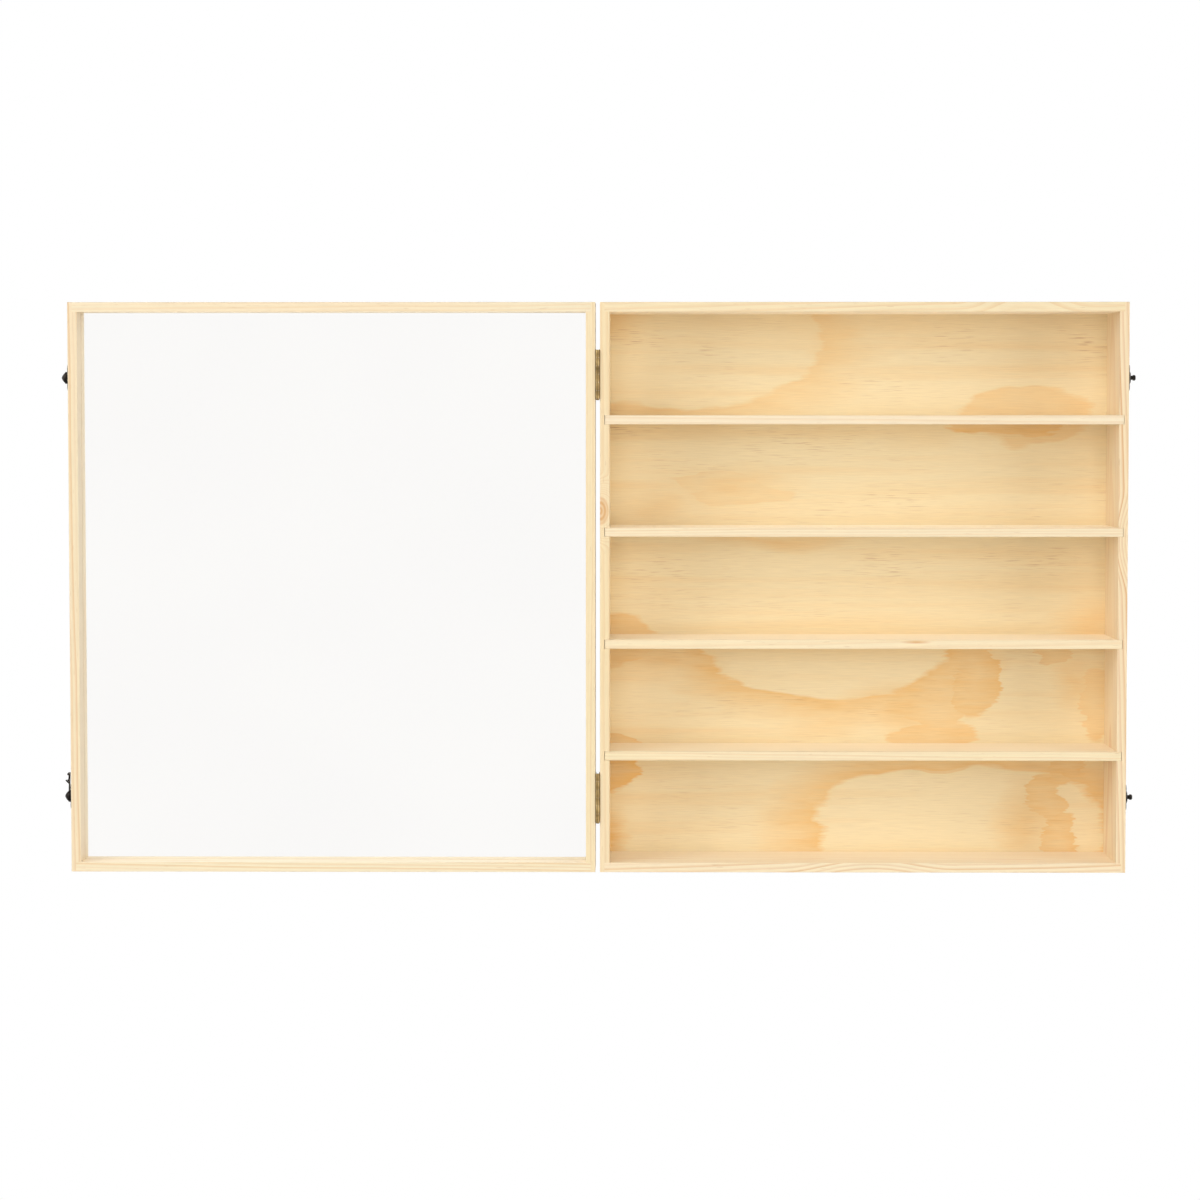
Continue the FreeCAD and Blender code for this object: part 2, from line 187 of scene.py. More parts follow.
def pool(tree, spot, height, kind, x, z, half_x, half_z, strength, stop=0):
    """How much orange one pool lays on each spot, up to the height where it stops, if any."""
    none, full, gone = kind
    moved = add(tree, "ShaderNodeVectorMath", {0: spot, 1: (x * MM, 0, z * MM)}, operation="SUBTRACT")
    shrunk = add(tree, "ShaderNodeVectorMath", {0: moved, 1: (1 / (half_x * MM), 0, 1 / (half_z * MM))},
                 operation="MULTIPLY")
    reach = add(tree, "ShaderNodeVectorMath", {0: shrunk}, output="Value", operation="LENGTH")
    edge = add(tree, "ShaderNodeMapRange", {"Value": reach, "From Min": none, "From Max": full})
    fade = add(tree, "ShaderNodeMapRange", {"Value": reach, "From Min": full, "From Max": gone,
                                            "To Min": strength, "To Max": 0.0})
    orange = add(tree, "ShaderNodeMath", {0: edge, 1: fade}, operation="MULTIPLY")
    if stop:
        below = add(tree, "ShaderNodeMath", {0: height, 1: stop * MM}, operation="LESS_THAN")
        orange = add(tree, "ShaderNodeMath", {0: orange, 1: below}, operation="MULTIPLY")
    return orange


def pine(board, ground, grain, pith, lean, seed, spacing, contrast, late, bends, marks):
    """One board's own pine: rings about a pith (depth, thickness) mm off its middle, cut at a lean."""
    low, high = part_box(board)
    material, tree, shader = new_finish(f"sanded_pine_{board}")
    place = add(tree, "ShaderNodeTexCoord", output="Object")
    turn = (0, math.radians(-90) if grain == "Z" else 0, 0)
    along = add(tree, "ShaderNodeMapping", {"Vector": place, "Location": (low + high) / 2, "Rotation": turn},
                vector_type="TEXTURE")

    wave = streaks(tree, along, WAVE_LENGTH, WAVE_WIDTH, seed, detail=1.0)
    ripple = streaks(tree, along, RIPPLE_LENGTH, RIPPLE_WIDTH, seed + 0.5, detail=2.0)
    from_pith = add(tree, "ShaderNodeVectorMath", {0: along, 1: (0, pith[0] * MM, pith[1] * MM)},
                    operation="SUBTRACT")
    across = add(tree, "ShaderNodeVectorMath", {0: from_pith, 1: (0, 1, 1)}, operation="MULTIPLY")
    radius = add(tree, "ShaderNodeVectorMath", {0: across}, output="Value", operation="LENGTH")
    length = add(tree, "ShaderNodeSeparateXYZ", {0: along}, output="X")
    radius = add(tree, "ShaderNodeMath", {0: length, 1: lean, 2: radius}, operation="MULTIPLY_ADD")
    radius = add(tree, "ShaderNodeMath", {0: wave, 1: WAVE_HEIGHT, 2: radius}, operation="MULTIPLY_ADD")
    radius = add(tree, "ShaderNodeMath", {0: ripple, 1: RIPPLE_HEIGHT, 2: radius}, operation="MULTIPLY_ADD")

    core = None
    squeeze = (KNOT_SQUEEZE, 1, 1) if grain == "X" else (1, 1, KNOT_SQUEEZE)
    for centre, bent, rise, knot in bends:
        moved = add(tree, "ShaderNodeVectorMath", {0: place, 1: centre}, operation="SUBTRACT")
        moved = add(tree, "ShaderNodeVectorMath", {0: moved, 1: squeeze}, operation="MULTIPLY")
        reach = add(tree, "ShaderNodeVectorMath", {0: moved}, output="Value", operation="LENGTH")
        bulge = add(tree, "ShaderNodeMapRange", {"Value": reach, "From Min": bent, "From Max": 0.0},
                    interpolation_type="SMOOTHERSTEP")
        radius = add(tree, "ShaderNodeMath", {0: bulge, 1: rise, 2: radius}, operation="MULTIPLY_ADD")
        if knot:
            core = add(tree, "ShaderNodeMapRange", {"Value": reach, "From Min": KNOT_FADE[0] * knot,
                                                    "From Max": KNOT_FADE[1] * knot})
            year = add(tree, "ShaderNodeMath", {0: reach, 1: KNOT_RING}, operation="PINGPONG")
            year = add(tree, "ShaderNodeMapRange", {"Value": year, "From Max": KNOT_RING,
                                                    "To Min": KNOT_YEAR})
            core = add(tree, "ShaderNodeMath", {0: core, 1: year}, operation="MULTIPLY")
    for mark in marks:
        core = pool(tree, place, None, CLOUDY, *mark)

    rings = add(tree, "ShaderNodeMath", {0: radius, 1: spacing * MM}, operation="DIVIDE")
    part = add(tree, "ShaderNodeMath", {0: rings}, operation="FRACT")
    which = add(tree, "ShaderNodeMath", {0: rings}, operation="FLOOR")
    season = add(tree, "ShaderNodeTexWhiteNoise", {"W": which}, noise_dimensions="1D")
    season = add(tree, "ShaderNodeMapRange", {"Value": season, "To Min": PALEST_RING * contrast,
                                              "To Max": contrast})
    line = add(tree, "ShaderNodeValToRGB", {"Fac": part}, stops=YEAR)
    line = add(tree, "ShaderNodeMath", {0: line, 1: season}, operation="MULTIPLY")

    cloud = streaks(tree, along, CLOUD_LENGTH, CLOUD_WIDTH, seed + 1.5, detail=2.0)
    cloud = add(tree, "ShaderNodeMapRange", {"Value": cloud, "From Min": CLOUD_RANGE[0],
                                             "From Max": CLOUD_RANGE[1], "To Max": CLOUD_STRENGTH})
    fibre = streaks(tree, along, FIBRE_LENGTH, FIBRE_WIDTH, seed + 2.5, detail=3.0)
    tone = add(tree, "ShaderNodeMapRange", {"Value": fibre, "From Min": FIBRE_RANGE[0],
                                            "From Max": FIBRE_RANGE[1], "To Min": BOARD_TONES[0],
                                            "To Max": BOARD_TONES[1]})
    canal = streaks(tree, along, RESIN_LENGTH, RESIN_WIDTH, seed + 3.5, detail=0.0)
    canal = add(tree, "ShaderNodeMapRange", {"Value": canal, "From Min": RESIN_RANGE[0],
                                             "From Max": RESIN_RANGE[1], "To Max": RESIN_STRENGTH})

    colour = add(tree, "ShaderNodeMix", {"Factor_Float": cloud, "A_Color": linear(ground),
                                         "B_Color": linear(PINK_WOOD)}, output=2, data_type="RGBA")
    colour = add(tree, "ShaderNodeMix", {"Factor_Float": line, "A_Color": colour, "B_Color": linear(late)},
                 output=2, data_type="RGBA")
    colour = add(tree, "ShaderNodeMix", {"Factor_Float": canal, "A_Color": colour, "B_Color": linear(RESIN)},
                 output=2, data_type="RGBA")
    if core:
        colour = add(tree, "ShaderNodeMix", {"Factor_Float": core, "A_Color": colour,
                                             "B_Color": linear(KNOT_WOOD)}, output=2, data_type="RGBA")
    colour = add(tree, "ShaderNodeVectorMath", {0: colour, "Scale": tone}, operation="SCALE")

    rough = add(tree, "ShaderNodeMapRange", {"Value": line, "To Min": EARLY_ROUGHNESS,
                                             "To Max": LATE_ROUGHNESS})
    relief = add(tree, "ShaderNodeMath", {0: line, 1: RIDGE, 2: fibre}, operation="MULTIPLY_ADD")
    normal = add(tree, "ShaderNodeBump", {"Height": relief, "Strength": FIBRE_RELIEF,
                                          "Distance": FIBRE_HEIGHT})
    feed(tree, shader, {"Base Color": colour, "Roughness": rough, "Normal": normal, "IOR": WOOD_IOR,
                        "Specular IOR Level": WOOD_GLOSS, "Sheen Weight": RAISED_FIBRES,
                        "Sheen Roughness": BLOOM_ROUGHNESS, "Sheen Tint": linear(BLOOM)})
    return material


# Board, its ground colour, direction of the grain, pith in mm from the middle of the board, lean of the cut,
# seed, ring spacing in mm, how strongly the rings show, and the colour of the late wood.
BOARDS = (
    ("case_left_side", "F1DAAC", "Z", (24, 46), 0.006, 3.0, 3.0, 0.7, "E6C088"),
    ("case_right_side", "F4DEB6", "Z", (0, 90), 0.030, 8.0, 4.2, 1.2, "DBA971"),
    ("case_top", "F2DEB5", "X", (30, 52), 0.018, 13.0, 3.2, 0.8, "E6C088"),
    ("case_bottom", "F6E3BF", "X", (-18, 36), 0.020, 21.0, 3.4, 0.9, "E2B780"),
    ("shelf_1", "F5E5C6", "X", (40, -60), 0.006, 34.0, 3.0, 0.6, "E6C088"),
    ("shelf_2", "F5E3BF", "X", (-52, 44), 0.007, 42.0, 2.8, 0.6, "E6C088"),
    ("shelf_3", "F6E3BB", "X", (16, 38), 0.012, 55.0, 3.4, 0.7, "E6C088"),
    ("shelf_4", "F5E3B9", "X", (-30, -48), 0.009, 67.0, 3.0, 0.6, "E6C088"),
    ("door_latch_stile", "EDDCB8", "Z", (14, 40), 0.008, 71.0, 3.2, 0.9, "E2B884"),
    ("door_hinge_stile", "F1DEB2", "Z", (-26, -58), 0.006, 83.0, 3.0, 0.6, "E6C088"),
    ("door_top_rail", "F2E3C1", "X", (22, 50), 0.009, 94.0, 3.2, 0.8, "E6C088"),
    ("door_bottom_rail", "F3E6C5", "X", (-8, -42), 0.012, 101.0, 3.4, 0.9, "E6C088"),
)
# Knots that bend the grain: board, middle on its front (right of the board's left face, and up from the
# origin), how far round the grain bends and by how much, and the size of the knot where it shows. All in mm.
BENDS = (
    ("case_left_side", 0, -203, 27, 36, 9),
    ("case_right_side", 15.5, -234, 38, 14, 0),
    ("case_bottom", 265, -575, 60, 9, 0),
    ("case_top", 418, 14, 50, 8, 0),
)
# Brown marks: board, middle (right and up from the origin) and half-sizes in mm, and strength.
MARKS = (
    ("shelf_3", 53, -334, 17, 2.0, 0.9),
)
for board, *cut in BOARDS:
    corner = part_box(board)[0]
    bends = []
    for name, right, up, *sizes in BENDS:
        if name == board:
            centre = Vector((corner.x + right * MM, corner.y, up * MM))
            bends.append((centre, *(size * MM for size in sizes)))
    marks = [mark for name, *mark in MARKS if name == board]
    dress(pine(board, *cut, bends, marks), board)


# Plywood: rotary-cut pine veneer, sanded. The knife runs in and out of the rings, so the eye sees broad
# orange pools of late wood, cut off sharp on one side and fading on the other, with short brown dashes
# along the grain. Two orange bands under the top board and the first shelf are painted shade.

VENEER = "F9E8BF"
FLAME_AND_SHADE = "EFB655"
DASH = "AC6A30"

DRIFT_LENGTH = 70 * MM
DRIFT_WIDTH = 22 * MM
DRIFT = 40 * MM               # how far the pools' edges wander
JAG_LENGTH = 12 * MM
JAG_WIDTH = 2.2 * MM
JAG = 9 * MM                  # how far fibres run over an edge
PATCH_LENGTH = 60 * MM
PATCH_WIDTH = 9 * MM          # lighter and darker stretches within a pool
DASH_LENGTH = 24 * MM
DASH_WIDTH = 0.9 * MM         # drawn wider than the real 0.3 mm so that it shows
CLUSTER_LENGTH = 110 * MM
CLUSTER_WIDTH = 30 * MM
BAND_LENGTH = 400 * MM
BAND_WIDTH = 14 * MM          # faint orange bands all along the grain
BAND_RANGE = (0.45, 0.8)
BAND_STRENGTH = 0.3
PATCH_RANGE = (0.3, 0.7)
PATCH_TONES = (0.7, 1.15)     # the weakest and strongest stretches of a pool
DASH_RANGE = (0.58, 0.7)      # only the peaks of the noise are dashes
CLUSTER_RANGE = (0.52, 0.7)
CLUSTER_TONES = (0.05, 0.25)  # how dark the dashes are outside and inside the scattered clusters
VENEER_TONES = (0.95, 1.03)
VENEER_ROUGHNESS = 0.6
FLAME_ROUGHNESS = 0.45
VENEER_GLOSS = 0.4
NOISE_MIDDLE = (0.5, 0.5, 0.5)

# Pools on the back, of late wood except two full-width bands of painted shade: kind, middle (right and up
# from the origin) and half-sizes in mm, strength, and the height that it stops at, behind a shelf, or 0.
POOLS = (
    (BESIDE, -203, -32, 167, 72, 0.40, 0),
    (CLOUDY, -18, -24, 46, 44, 0.35, 0),
    (CLOUDY, -250, -8, 48, 34, 0.40, 0),
    (FILLED, 168, -108, 72, 32, 0.38, 0),
    (FILLED, 154, -112, 66, 22, 0.62, -112),
    # Painted shade: the next two rows lay warm orange across the full width just under the top board and
    # under the first shelf, where the shelves shade the back.
    (CLOUDY, 0, -12, 300, 28, 0.20, 0),
    (CLOUDY, 0, -120, 300, 22, 0.16, -112),
    (CLOUDY, -131, -182, 88, 28, 0.34, 0),
    (FILLED, -152, -173, 44, 10, 0.26, 0),
    (FILLED, -116, -188, 60, 12, 0.30, 0),
    (CLOUDY, -205, -200, 46, 22, 0.30, 0),
    (CLOUDY, -90, -235, 110, 16, 0.42, 0),
    (FILLED, -254, -340, 54, 30, 0.50, 0),
    (CLOUDY, 240, -318, 50, 34, 0.42, 0),
    (BESIDE, -29, -322, 138, 80, 0.62, -338),
    (CLOUDY, -200, -356, 76, 32, 0.45, -338),
    (FILLED, 122, -372, 25, 54, 0.58, -338),
    (FILLED, 88, -402, 46, 26, 0.50, -338),
    (CLOUDY, 50, -408, 84, 30, 0.55, -338),
    (FILLED, 78, -438, 48, 18, 0.52, 0),
    (FILLED, 200, -350, 18, 16, 0.40, -338),
    (CLOUDY, 225, -385, 30, 40, 0.35, -338),
    (FILLED, 246, -410, 17, 40, 0.40, 0),
    (FILLED, -250, -445, 26, 10, 0.50, 0),
    (FILLED, -258, -472, 38, 30, 0.75, 0),
    (CLOUDY, -258, -545, 26, 44, 0.75, 0),
    (BESIDE, 105, -528, 154, 64, 0.60, -450),
    (FILLED, 82, -464, 34, 8, 0.45, -450),
    (FILLED, 213, -472, 20, 20, 0.55, -450),
    (FILLED, 193, -505, 20, 28, 0.52, 0),
    (FILLED, 206, -543, 17, 28, 0.55, 0),
    (CLOUDY, 172, -525, 38, 50, 0.40, 0),
)
# Where the dashes crowd: middle (right and up from the origin) and half-sizes in mm, and strength.
DASHED = (
    (-232, -32, 46, 24, 0.55),
    (-165, -46, 70, 16, 0.40),
    (92, -36, 52, 36, 0.42),
    (232, -36, 40, 30, 0.62),
    (-236, -122, 50, 12, 0.60),
    (-66, -140, 72, 28, 0.58),
    (-160, -164, 40, 8, 0.62),
    (40, -192, 64, 20, 0.45),
    (225, -182, 50, 22, 0.30),
    (-212, -268, 70, 22, 0.52),
    (30, -262, 64, 40, 0.42),
    (180, -256, 90, 22, 0.52),
)


def plywood():
    """The back's veneer: pools with wandering, jagged edges, faint bands and crowds of dashes, and painted
    shade in orange bands under the top board and the first shelf.
    """
    material, tree, shader = new_finish("rotary_cut_pine_plywood")
    place = add(tree, "ShaderNodeTexCoord", output="Object")
    height = add(tree, "ShaderNodeSeparateXYZ", {0: place}, output="Z")

    drift = streaks(tree, place, DRIFT_LENGTH, DRIFT_WIDTH, seed=2.0, detail=2.0, output="Color")
    jag = streaks(tree, place, JAG_LENGTH, JAG_WIDTH, seed=9.0, detail=2.0)
    jag = add(tree, "ShaderNodeMapRange", {"Value": jag, "To Min": -JAG, "To Max": JAG})
    drift = add(tree, "ShaderNodeVectorMath", {0: drift, 1: NOISE_MIDDLE}, operation="SUBTRACT")
    spot = add(tree, "ShaderNodeVectorMath", {0: drift, 1: (DRIFT, 0, DRIFT), 2: place},
               operation="MULTIPLY_ADD")
    shift = add(tree, "ShaderNodeCombineXYZ", {"X": jag})
    spot = add(tree, "ShaderNodeVectorMath", {0: spot, 1: shift}, operation="ADD")
    flame_and_shade = None
    for row in POOLS:
        orange = pool(tree, spot, height, *row)
        flame_and_shade = add(tree, "ShaderNodeMath", {0: flame_and_shade, 1: orange}, operation="MAXIMUM") if flame_and_shade else orange

    patch = streaks(tree, place, PATCH_LENGTH, PATCH_WIDTH, seed=3.0, detail=3.0)
    patch = add(tree, "ShaderNodeMapRange", {"Value": patch, "From Min": PATCH_RANGE[0],
                                             "From Max": PATCH_RANGE[1], "To Min": PATCH_TONES[0],
                                             "To Max": PATCH_TONES[1]})
    flame_and_shade = add(tree, "ShaderNodeMath", {0: flame_and_shade, 1: patch}, operation="MULTIPLY")
    band = streaks(tree, place, BAND_LENGTH, BAND_WIDTH, seed=4.0, detail=3.0)
    band = add(tree, "ShaderNodeMapRange", {"Value": band, "From Min": BAND_RANGE[0],
                                            "From Max": BAND_RANGE[1], "To Max": BAND_STRENGTH})
    flame_and_shade = add(tree, "ShaderNodeMath", {0: flame_and_shade, 1: band}, operation="MAXIMUM")
    fibre = streaks(tree, place, FIBRE_LENGTH, FIBRE_WIDTH, seed=5.0, detail=3.0)
    tone = add(tree, "ShaderNodeMapRange", {"Value": fibre, "From Min": FIBRE_RANGE[0],
                                            "From Max": FIBRE_RANGE[1], "To Min": VENEER_TONES[0],
                                            "To Max": VENEER_TONES[1]})
    dash = streaks(tree, place, DASH_LENGTH, DASH_WIDTH, seed=6.0, detail=1.0)
    dash = add(tree, "ShaderNodeMapRange", {"Value": dash, "From Min": DASH_RANGE[0],
                                            "From Max": DASH_RANGE[1]})
    cluster = streaks(tree, place, CLUSTER_LENGTH, CLUSTER_WIDTH, seed=7.0, detail=1.0)
    cluster = add(tree, "ShaderNodeMapRange", {"Value": cluster, "From Min": CLUSTER_RANGE[0],
                                               "From Max": CLUSTER_RANGE[1], "To Min": CLUSTER_TONES[0],
                                               "To Max": CLUSTER_TONES[1]})
    for row in DASHED:
        crowd = pool(tree, spot, height, CLOUDY, *row)
        cluster = add(tree, "ShaderNodeMath", {0: cluster, 1: crowd}, operation="MAXIMUM")
    dash = add(tree, "ShaderNodeMath", {0: dash, 1: cluster}, operation="MULTIPLY")

    colour = add(tree, "ShaderNodeMix", {"Factor_Float": flame_and_shade, "A_Color": linear(VENEER),
                                         "B_Color": linear(FLAME_AND_SHADE)}, output=2, data_type="RGBA")
    colour = add(tree, "ShaderNodeMix", {"Factor_Float": dash, "A_Color": colour, "B_Color": linear(DASH)},
                 output=2, data_type="RGBA")
    colour = add(tree, "ShaderNodeVectorMath", {0: colour, "Scale": tone}, operation="SCALE")
    relief = add(tree, "ShaderNodeMath", {0: fibre, 1: dash}, operation="SUBTRACT")
    normal = add(tree, "ShaderNodeBump", {"Height": relief, "Strength": FIBRE_RELIEF,
                                          "Distance": FIBRE_HEIGHT})
    rough = add(tree, "ShaderNodeMapRange", {"Value": flame_and_shade, "To Min": VENEER_ROUGHNESS,
                                             "To Max": FLAME_ROUGHNESS})
    feed(tree, shader, {"Base Color": colour, "Roughness": rough, "Normal": normal,
                        "IOR": WOOD_IOR, "Specular IOR Level": VENEER_GLOSS})
    return material


dress(plywood(), "back_panel")


# Acrylic: clear cast sheet, polished. It takes a trace of light from what is behind it, unevenly, and
# mirrors a little.

CLEAREST = "FCFBF9"
DULLEST = "F8F7F6"
PANE_SHADOW = "FAF9F6"
PANE_CLOUD = 180 * MM
ACRYLIC_IOR = 1.49


def acrylic():
    """The pane, which lets the lamps' light through as a thin sheet does, without a dark shadow."""
    material, tree, shader = new_finish("clear_cast_acrylic")
    place = add(tree, "ShaderNodeTexCoord", output="Object")
    cloud = add(tree, "ShaderNodeTexNoise", {"Vector": place, "Scale": 1 / PANE_CLOUD, "Detail": 1.0})
    tint = add(tree, "ShaderNodeMix", {"Factor_Float": cloud, "A_Color": linear(CLEAREST),
                                       "B_Color": linear(DULLEST)}, output=2, data_type="RGBA")
    feed(tree, shader, {"Base Color": tint, "Roughness": 0.0, "IOR": ACRYLIC_IOR,
                        "Transmission Weight": 1.0})
    lamp = add(tree, "ShaderNodeLightPath", output="Is Shadow Ray")
    clear = add(tree, "ShaderNodeBsdfTransparent", {"Color": linear(PANE_SHADOW)})
    mix = add(tree, "ShaderNodeMixShader", {0: lamp, 1: shader.outputs[0], 2: clear})
    tree.links.new(mix, tree.nodes["Material Output"].inputs["Surface"])
    return material


dress(acrylic(), "door_pane")


# Metals: thin plating over pressed brass and steel. The eye sees soft highlights, faint clouds where the
# plating is thicker, and fine pits.

MOTTLE_SIZE = 7 * MM
PIT_SIZE = 0.6 * MM
PIT_SHARE = 0.35              # how much the pits add to the clouds
PIT_RELIEF = 0.2
PIT_DEPTH = 0.05 * MM
MOTTLE_RANGE = (0.4, 0.95)
MOTTLE_STOPS = (0.45, 0.67, 0.9)
SHINE_SPREAD = 0.08           # how far the roughness goes up and down with the clouds


def plated(name, colour, worn, dark, metallic, rough):
    """A plated metal, from its dark hollows to its worn, shinier places."""
    material, tree, shader = new_finish(name)
    place = add(tree, "ShaderNodeTexCoord", output="Object")
    cloud = add(tree, "ShaderNodeTexNoise", {"Vector": place, "Scale": 1 / MOTTLE_SIZE, "Detail": 3.0})
    pits = add(tree, "ShaderNodeTexNoise", {"Vector": place, "Scale": 1 / PIT_SIZE, "Detail": 2.0})
    mottle = add(tree, "ShaderNodeMath", {0: pits, 1: PIT_SHARE, 2: cloud}, operation="MULTIPLY_ADD")
    colours = [linear(code) for code in (dark, colour, worn)]
    tint = add(tree, "ShaderNodeValToRGB", {"Fac": mottle}, stops=tuple(zip(MOTTLE_STOPS, colours)))
    shine = add(tree, "ShaderNodeMapRange", {"Value": mottle, "From Min": MOTTLE_RANGE[0],
                                             "From Max": MOTTLE_RANGE[1], "To Min": rough + SHINE_SPREAD,
                                             "To Max": rough - SHINE_SPREAD})
    normal = add(tree, "ShaderNodeBump", {"Height": pits, "Strength": PIT_RELIEF, "Distance": PIT_DEPTH})
    feed(tree, shader, {"Base Color": tint, "Metallic": metallic, "Roughness": shine, "Normal": normal})
    return material


# Name, colour, colour of its worn and of its dark places, how metallic and how rough
METALS = {
    "hinge_bronze": plated("antique_bronze_plate", "866F48", "A28C60", "5C4B30", 1.0, 0.42),
    "latch_bronze": plated("darkened_bronze_plate", "26221F", "423C37", "151311", 0.9, 0.42),
    "zinc_steel": plated("zinc_plated_steel", "B4B6B8", "CDCFD0", "96989B", 1.0, 0.38),
}
for part in frame["record"]["subparts"]:
    if part["material_slot"] in METALS:
        dress(METALS[part["material_slot"]], part["node"])


# Fasteners: cross-headed countersunk screws in the hinge leaves, round-headed nails in the plates and
# hangers

SCREW_SIZES = {"Head Radius": 2.0 * MM, "Head Height": 0.9 * MM, "Shank Radius": 1.1 * MM,
               "Recess Length": 2.4 * MM, "Recess Width": 0.5 * MM, "Recess Depth": 0.45 * MM}
NAIL_SIZES = {"Head Radius": 1.5 * MM, "Head Height": 0.6 * MM, "Shank Radius": 0.65 * MM}
SPIN_SEED = 7
SOLID_GAP = 4 * MM            # the least room between two fasteners of a group
SHANK_SIDES = 20
HEAD_SIDES = 28
DOME_SIDES = 24
SHARP_EDGE = 40               # degrees


def fastener_tree(name, sizes):
    """An empty Geometry Nodes tree with named inputs, and its input sockets."""
    tree = bpy.data.node_groups.new(name, "GeometryNodeTree")
    kinds = {"Places": "NodeSocketGeometry", "Facing": "NodeSocketVector", "Finish": "NodeSocketMaterial"}
    for size in [*sizes, "Length"]:
        kinds[size] = "NodeSocketFloat"
    for socket, kind in kinds.items():
        tree.interface.new_socket(socket, in_out="INPUT", socket_type=kind)
    tree.interface.new_socket("Fasteners", in_out="OUTPUT", socket_type="NodeSocketGeometry")
    return tree, tree.nodes.new("NodeGroupInput").outputs


def shank(tree, given, head_height):
    """A shank from under the head to the fastener's end."""
    length = add(tree, "ShaderNodeMath", {0: given["Length"], 1: head_height}, operation="SUBTRACT")
    both = add(tree, "ShaderNodeMath", {0: given["Length"], 1: head_height}, operation="ADD")
    middle = add(tree, "ShaderNodeMath", {0: both, 1: -0.5}, operation="MULTIPLY")
    rod = add(tree, "GeometryNodeMeshCylinder", {"Vertices": SHANK_SIDES, "Radius": given["Shank Radius"],
                                                 "Depth": length})
    down = add(tree, "ShaderNodeCombineXYZ", {"Z": middle})
    return add(tree, "GeometryNodeTransform", {"Geometry": rod, "Translation": down})


def set_in_place(tree, given, pieces):
    """Ends a tree: the fastener at each place, turned to its facing and spun at random."""
    whole = add(tree, "GeometryNodeJoinGeometry", {"Geometry": pieces})
    facing = add(tree, "FunctionNodeAlignRotationToVector", {"Vector": given["Facing"]}, axis="Z")
    spin = add(tree, "FunctionNodeRandomValue", {"Max_001": math.tau, "Seed": SPIN_SEED}, output=1,
               data_type="FLOAT")
    spin = add(tree, "FunctionNodeAxisAngleToRotation", {"Axis": (0, 0, 1), "Angle": spin})
    turn = add(tree, "FunctionNodeRotateRotation", {"Rotation": facing, "Rotate By": spin},
               rotation_space="LOCAL")
    many = add(tree, "GeometryNodeInstanceOnPoints", {"Points": given["Places"], "Instance": whole,
                                                      "Rotation": turn})
    real = add(tree, "GeometryNodeRealizeInstances", {"Geometry": many})
    done = add(tree, "GeometryNodeSetMaterial", {"Geometry": real, "Material": given["Finish"]})
    add(tree, "NodeGroupOutput", {0: done})
    return tree


def screw_tree():
    """Countersunk screws, their heads level with the places given."""
    tree, given = fastener_tree("countersunk_screws", SCREW_SIZES)
    cone = add(tree, "GeometryNodeMeshCone", {"Vertices": HEAD_SIDES, "Radius Top": given["Head Radius"],
                                              "Radius Bottom": given["Shank Radius"],
                                              "Depth": given["Head Height"]})
    drop = add(tree, "ShaderNodeMath", {0: given["Head Height"], 1: -1.0}, operation="MULTIPLY")
    sink = add(tree, "ShaderNodeCombineXYZ", {"Z": drop})
    head = add(tree, "GeometryNodeTransform", {"Geometry": cone, "Translation": sink})
    depth = add(tree, "ShaderNodeMath", {0: given["Recess Depth"], 1: 2.0}, operation="MULTIPLY")
    for across, along in (("X", "Y"), ("Y", "X")):
        size = add(tree, "ShaderNodeCombineXYZ", {along: given["Recess Length"],
                                                  across: given["Recess Width"], "Z": depth})
        slot = add(tree, "GeometryNodeMeshCube", {"Size": size})
        head = add(tree, "GeometryNodeMeshBoolean", {"Mesh 1": head, "Mesh 2": slot}, operation="DIFFERENCE",
                   solver="EXACT")
    return set_in_place(tree, given, [head, shank(tree, given, given["Head Height"])])


def nail_tree():
    """Round-headed nails, their domes standing on the places given."""
    tree, given = fastener_tree("round_headed_nails", NAIL_SIZES)
    ball = add(tree, "GeometryNodeMeshUVSphere", {"Segments": DOME_SIDES, "Rings": DOME_SIDES // 2,
                                                  "Radius": given["Head Radius"]})
    squash = add(tree, "ShaderNodeMath", {0: given["Head Height"], 1: given["Head Radius"]},
                 operation="DIVIDE")
    scale = add(tree, "ShaderNodeCombineXYZ", {"X": 1.0, "Y": 1.0, "Z": squash})
    dome = add(tree, "GeometryNodeTransform", {"Geometry": ball, "Scale": scale})
    return set_in_place(tree, given, [dome, shank(tree, given, 0.0)])


def places_of(group, row, facing):
    """The outer end of each fastener of a CAD group, told apart by the gaps along its row."""
    vertices = frame["nodes"][group].data.vertices
    points = sorted((vertex.co for vertex in vertices), key=lambda point: point[row])
    clusters = [[points[0]]]
    for before, point in zip(points, points[1:]):
        if point[row] - before[row] > SOLID_GAP:
            clusters.append([])
        clusters[-1].append(point)
    places = []
    for cluster in clusters:
        low = Vector([min(point[axis] for point in cluster) for axis in range(3)])
        high = Vector([max(point[axis] for point in cluster) for axis in range(3)])
        half = (high - low) / 2
        places.append((low + high) / 2 + Vector([half[axis] * facing[axis] for axis in range(3)]))
    return places


